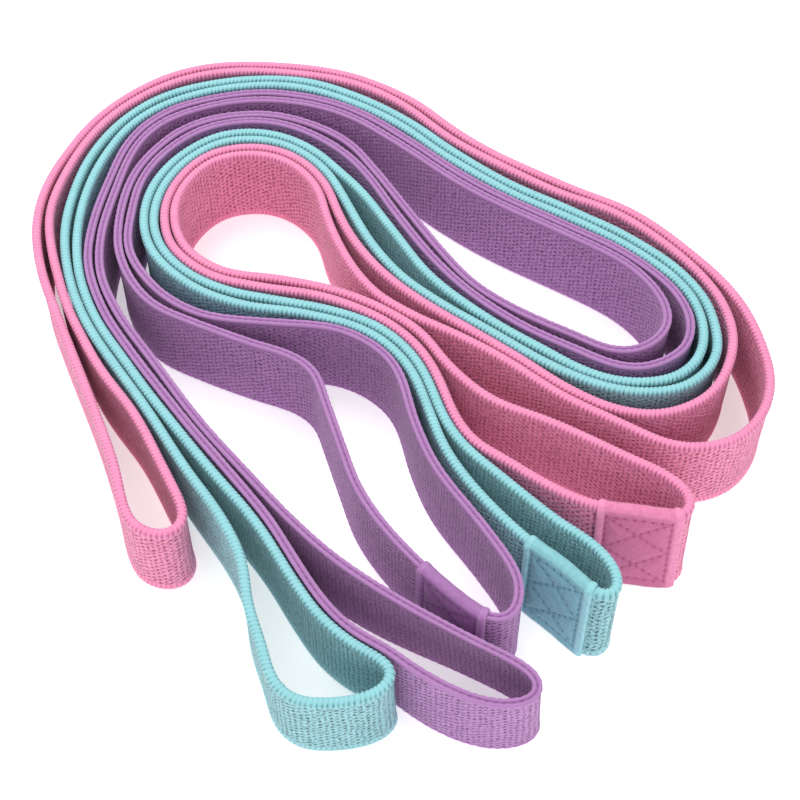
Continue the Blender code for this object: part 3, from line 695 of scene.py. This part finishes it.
def make_ribbed_rim(route, top, material):
    """A rolled edge: yarn wound over it in close rounded turns that end a little way down each face."""
    rng = np.random.default_rng(RIBBED_SEED + top)
    place, low, size = rib_places(route, rng)
    across, down = rim_section(RIBBED_HALF, top)
    flank = np.clip((np.abs(across) - FLANK_START) / FLANK_REACH, 0, 1)
    valley = CROWN_SHARE + (1 - CROWN_SHARE) * flank
    dip = (low * RIB_VALLEY * size)[:, None] * valley - ((1 - low) * RIB_CREST * size)[:, None]
    out = across[None, :] - np.sign(across)[None, :] * dip * flank[None, :]
    lift = down[None, :] + dip * (1 - 0.8 * flank)
    height = BAND_WIDTH - lift if top else np.maximum(lift, 0.0)
    slant = np.sign(across) * np.clip(np.abs(across) - SLANT_START, 0, 1) * RIB_PITCH * RIB_SLANT
    where = place[:, None] + slant[None, :]
    grid = route.at(where, out, height)
    weave = np.stack(np.broadcast_arrays(where, height), -1)
    # Painted shade in the slits between turns: full on the flanks, a little on the crown, fading out near the
    # foot on each face
    painted_shade_across = np.clip((SHADE_FOOT - down) / SHADE_FADE, 0, 1) * (CROWN_SHADE + (1 - CROWN_SHADE) * flank)
    depth = (low * np.clip(size, 0.8, 1.1))[:, None] * painted_shade_across[None, :]
    name = f"{route.name}_{'upper' if top else 'lower'}_rim"
    return make_skins(name, [(grid, weave, depth)], f"{route.name}_band", material)


def make_bound_rim(route, top, material):
    """A bound edge: two long ridges with a stitched line between them, sewn down below."""
    rng = np.random.default_rng(BOUND_SEED + top)
    place = route.stations(BOUND_STITCH / 2)
    across, down = rim_section(BOUND_HALF, top)
    pinch = np.where(np.arange(len(place)) % 2 == 0, 1.0, 0.0)[:, None]
    pinch = pinch * rng.uniform(0.6, 1.4, (len(place), 1))
    out = across * (1 - PINCH_IN * pinch)
    lift = down + PINCH_DOWN * pinch * (down < 1.0)
    height = BAND_WIDTH - lift if top else lift
    grid = route.at(place[:, None], out, height)
    weave = np.stack(np.broadcast_arrays(place[:, None], height), -1)
    # Painted shade along the grooves, one down each side and one along the crown, stronger where the stitches
    # pinch
    painted_groove_shade = np.exp(-((down - SIDE_GROOVE_DOWN) / SIDE_GROOVE_REACH) ** 2)
    painted_groove_shade = painted_groove_shade + np.exp(-((across / CROWN_GROOVE_REACH) ** 2))
    depth = np.clip(painted_groove_shade[None, :] * (0.55 + 0.45 * pinch), 0, 1)
    name = f"{route.name}_{'upper' if top else 'lower'}_rim"
    return make_skins(name, [(grid, weave, depth)], f"{route.name}_band", material)


def make_core(route, material):
    """The latex yarns, side by side between the two woven layers."""
    place = route.stations(SAMPLE_STEP)
    count = int(CORE_WIDTH / (2 * YARN_RADIUS))
    low = (BAND_WIDTH - count * 2 * YARN_RADIUS) / 2
    heights = low + np.arange(2 * count + 1) * YARN_RADIUS
    swell = np.where(np.arange(2 * count + 1) % 2 == 1, YARN_RADIUS, YARN_WAIST)
    out = np.concatenate([swell, -swell[::-1]])
    height = np.concatenate([heights, heights[::-1]])
    grid = route.at(place[:, None], out[None, :], height[None, :])
    weave = np.stack(np.broadcast_arrays(place[:, None], height[None, :]), -1)
    name = f"{route.name}_latex_yarns"
    return make_skins(name, [(grid, weave, np.zeros(grid.shape[:2]))],
                      f"{route.name}_band", material)


def seam_lines():
    """The stitched box and its two stacked crosses, as ends (along, height) from the joint's middle."""
    a = WRAP_LENGTH / 2 - STITCH_INSET
    low, high = STITCH_INSET, BAND_WIDTH - STITCH_INSET
    middle = BAND_WIDTH / 2
    left, right = -a, a
    return [
        ((left, high), (right, high)), ((right, high), (right, low)), ((right, low), (left, low)),
        ((left, low), (left, high)), ((left, high), (right, middle)), ((right, high), (left, middle)),
        ((left, middle), (right, low)), ((right, middle), (left, low)),
    ]


def stitches():
    """Each stitch's two needle holes."""
    found = []
    for start, end in seam_lines():
        start, end = np.array(start), np.array(end)
        count = int(round(np.hypot(*(end - start)) / STITCH_PITCH))
        for k in range(count):
            found.append((start + (end - start) * k / count, start + (end - start) * (k + 1) / count))
    return found


def distance_to(lines, along, height):
    """Distance from each point to the nearest of the lines."""
    nearest = np.full(along.shape, np.inf)
    for start, end in lines:
        run = np.subtract(end, start)
        share = ((along - start[0]) * run[0] + (height - start[1]) * run[1]) / (run @ run)
        share = np.clip(share, 0, 1)
        gap = np.hypot(along - start[0] - share * run[0], height - start[1] - share * run[1])
        nearest = np.minimum(nearest, gap)
    return nearest


def wrap_lift(along, height):
    """How far the tape stands proud, and the painted shade at needle holes, stitch lines and furrows."""
    lines = seam_lines()
    gap = distance_to(lines, along, height)
    swell = 1 + PUFF_UNEVEN * np.sin(1.1 * along + 0.5) * np.sin(0.9 * height)
    puff = PUFF * swell * (1 - np.exp(-((gap / PUFF_REACH) ** 2)))
    turns = np.cos(2 * np.pi * (along + 0.2 * height) / WRAP_RIB)
    end = WRAP_LENGTH / 2 - np.abs(along)
    hem = np.clip((HEM - end) / HEM_SLOPE, 0, 1)
    rib = WRAP_RIB_HEIGHT * turns * (1 - hem)
    fold = HEM_HEIGHT * hem
    near = np.full(along.shape, np.inf)
    for hole, _ in stitches():
        near = np.minimum(near, np.hypot(along - hole[0], height - hole[1]))
    pit = np.exp(-((near / NEEDLE_REACH) ** 2))
    line = np.exp(-((gap / LINE_REACH) ** 2))
    furrow = (1 - hem) * (0.5 - 0.5 * turns)
    shade = np.clip(PIT_SHADE * pit + LINE_SHADE * line + FURROW_SHADE * furrow, 0, 1)
    return puff + rib + fold - NEEDLE_PIT * pit, shade


def make_wrap(route, material):
    """The tape folded over the joint from above, down both faces."""
    along = np.arange(-WRAP_LENGTH / 2, WRAP_LENGTH / 2 + 0.01, WRAP_RIB / 4)
    crown = BAND_WIDTH - CROWN_DROP
    rows = np.linspace(WRAP_FOOT, crown, WRAP_ROWS)
    arc = np.radians(np.linspace(0, 180, 11))[1:-1]
    flank = WRAP_INNER + WRAP_WALL / 2
    rise = CROWN_DROP + WRAP_RISE
    side_out = np.concatenate([np.full(WRAP_ROWS, -1.0), -np.cos(arc), np.full(WRAP_ROWS, 1.0)])
    height = np.concatenate([rows, crown + rise * np.sin(arc), rows[::-1]])
    flat = np.concatenate([np.zeros(WRAP_ROWS), np.sin(arc), np.zeros(WRAP_ROWS)])
    up = np.concatenate([rows, np.full(len(arc), BAND_WIDTH), rows[::-1]])
    lift, shade = wrap_lift(along[:, None], up[None, :])
    turned_in = np.exp(-(((WRAP_LENGTH / 2 - np.abs(along)) / END_REACH) ** 2))[:, None]
    lift = lift - END_DROP * turned_in
    outer = flank * side_out[None, :] + side_out[None, :] * lift
    outer_height = height[None, :] + flat[None, :] * lift * CROWN_PUFF
    under = np.broadcast_to((flank - WRAP_WALL) * side_out, lift.shape)
    under_height = np.broadcast_to(height - flat * WRAP_WALL, lift.shape)
    out = np.hstack([outer, under[:, ::-1]])
    tall = np.hstack([outer_height, under_height[:, ::-1]])
    grid = route.at(along[:, None], out, tall)
    weave = np.stack(np.broadcast_arrays(along[:, None], tall), -1)
    # Painted shade on the tape's outer side only
    depth = np.hstack([shade, np.zeros(under.shape)])
    return make_skins(f"{route.name}_folded_wrap", [(grid, weave, depth)],
                      f"{route.name}_band", material)


def make_stitches(route, side, kind, material):
    """One short arched length of thread for each stitch, on one face of the wrap."""
    around = np.linspace(0, 2 * np.pi, THREAD_SIDES, endpoint=False)
    thick = STITCH_THICK * THREAD_RADIUS
    parts = []
    for start, end in stitches():
        middle = start + (end - start) * STITCH_PLACES[:, None]
        along, up = middle.T
        lift, _ = wrap_lift(along, up)
        lift = np.full_like(lift, np.median(lift))
        base = WRAP_INNER + WRAP_WALL / 2 + lift + STITCH_RISE
        way = (end - start) / np.hypot(*(end - start))
        cross = np.array([-way[1], way[0]])
        place = along[:, None] + np.cos(around) * thick[:, None] * cross[0]
        height = up[:, None] + np.cos(around) * thick[:, None] * cross[1]
        out = side * (base[:, None] + np.sin(around) * thick[:, None])
        grid = route.at(place, out, height)
        parts.append((grid, np.stack([place, height], -1), np.zeros(grid.shape[:2])))
    return make_skins(f"{route.name}_{kind}_stitches", parts, f"{route.name}_band",
                      material)


def make_band(route):
    name, tones = route.name, COLOURS[route.name]
    # The inner layer gets a darker painted tone, and its openings a little less bump and painted shade, than
    # the outer one
    faces = [make_face(route, 1, face_material(name, "outer", tones, 0.2, 1.0)),
             make_face(route, -1, face_material(name, "inner", tones, 0.5, 0.9))]
    make_rim = make_bound_rim if name == "purple" else make_ribbed_rim
    upper = make_rim(route, True, rim_material(name, tones, True))
    lower = make_rim(route, False, rim_material(name, tones, False))
    core = make_core(route, latex_material(name))
    wrap = make_wrap(route, wrap_material(name, tones))
    thread = thread_material(name, tones)
    needle = make_stitches(route, 1, "needle", thread)
    bobbin = make_stitches(route, -1, "bobbin", thread)
    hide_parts(f"{name}_webbing_cover")
    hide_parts(f"{name}_elastic_core")
    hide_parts(f"{name}_seam_wrap")
    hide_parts(f"{name}_needle_thread")
    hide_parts(f"{name}_bobbin_thread")


# ---------------------------------------------------------------- stage

def make_floor():
    s = Shader("pale_floor", sheen=0.0, specular=0.1)
    cloud = s.noise(60.0)
    s.finish(s.mix(cloud, (0.90, 0.90, 0.90, 1), (0.92, 0.92, 0.92, 1)), 0.9)
    s.principled.inputs["Emission Color"].default_value = (1, 1, 1, 1)
    s.principled.inputs["Emission Strength"].default_value = FLOOR_GLOW
    bpy.ops.mesh.primitive_plane_add(size=FLOOR_SIZE, location=(0, 0, -FLOOR_DROP))
    floor = bpy.context.object
    floor.name = "floor"
    floor.data.materials.append(s.material)


def make_light(name, place, size, energy):
    data = bpy.data.lights.new(name, "AREA")
    data.shape = "SQUARE"
    data.size = size
    data.energy = energy
    light = bpy.data.objects.new(name, data)
    bpy.context.scene.collection.objects.link(light)
    light.location = place
    direction = -light.location.normalized()
    light.rotation_euler = direction.to_track_quat("-Z", "Y").to_euler()


def make_studio(look_at):
    world = bpy.data.worlds.new("studio")
    bpy.context.scene.world = world
    world.use_nodes = True
    background = world.node_tree.nodes["Background"]
    background.inputs["Color"].default_value = (1, 1, 1, 1)
    background.inputs["Strength"].default_value = WORLD_LIGHT
    for name, (place, size, energy) in LIGHTS.items():
        make_light(name, place, size, energy)
    bpy.context.scene.view_settings.view_transform = "Standard"
    data = bpy.data.cameras.new("camera")
    data.lens = CAMERA_LENS
    data.sensor_width = CAMERA_SENSOR
    data.sensor_fit = "HORIZONTAL"
    data.clip_start, data.clip_end = CAMERA_CLIP
    camera = bpy.data.objects.new("camera", data)
    bpy.context.scene.collection.objects.link(camera)
    tilt = math.radians(CAMERA_ELEVATION)
    back, high = CAMERA_DISTANCE * math.cos(tilt), CAMERA_DISTANCE * math.sin(tilt)
    camera.location = (look_at[0] * MM, (look_at[1] - back) * MM, high * MM)
    camera.rotation_euler = (math.pi / 2 - tilt, 0.0, 0.0)
    bpy.context.scene.camera = camera


loops, route_origin = nest_routes()
make_floor()
make_studio(route_origin)
for band_name, band_loop in loops.items():
    make_band(Route(band_name, band_loop))
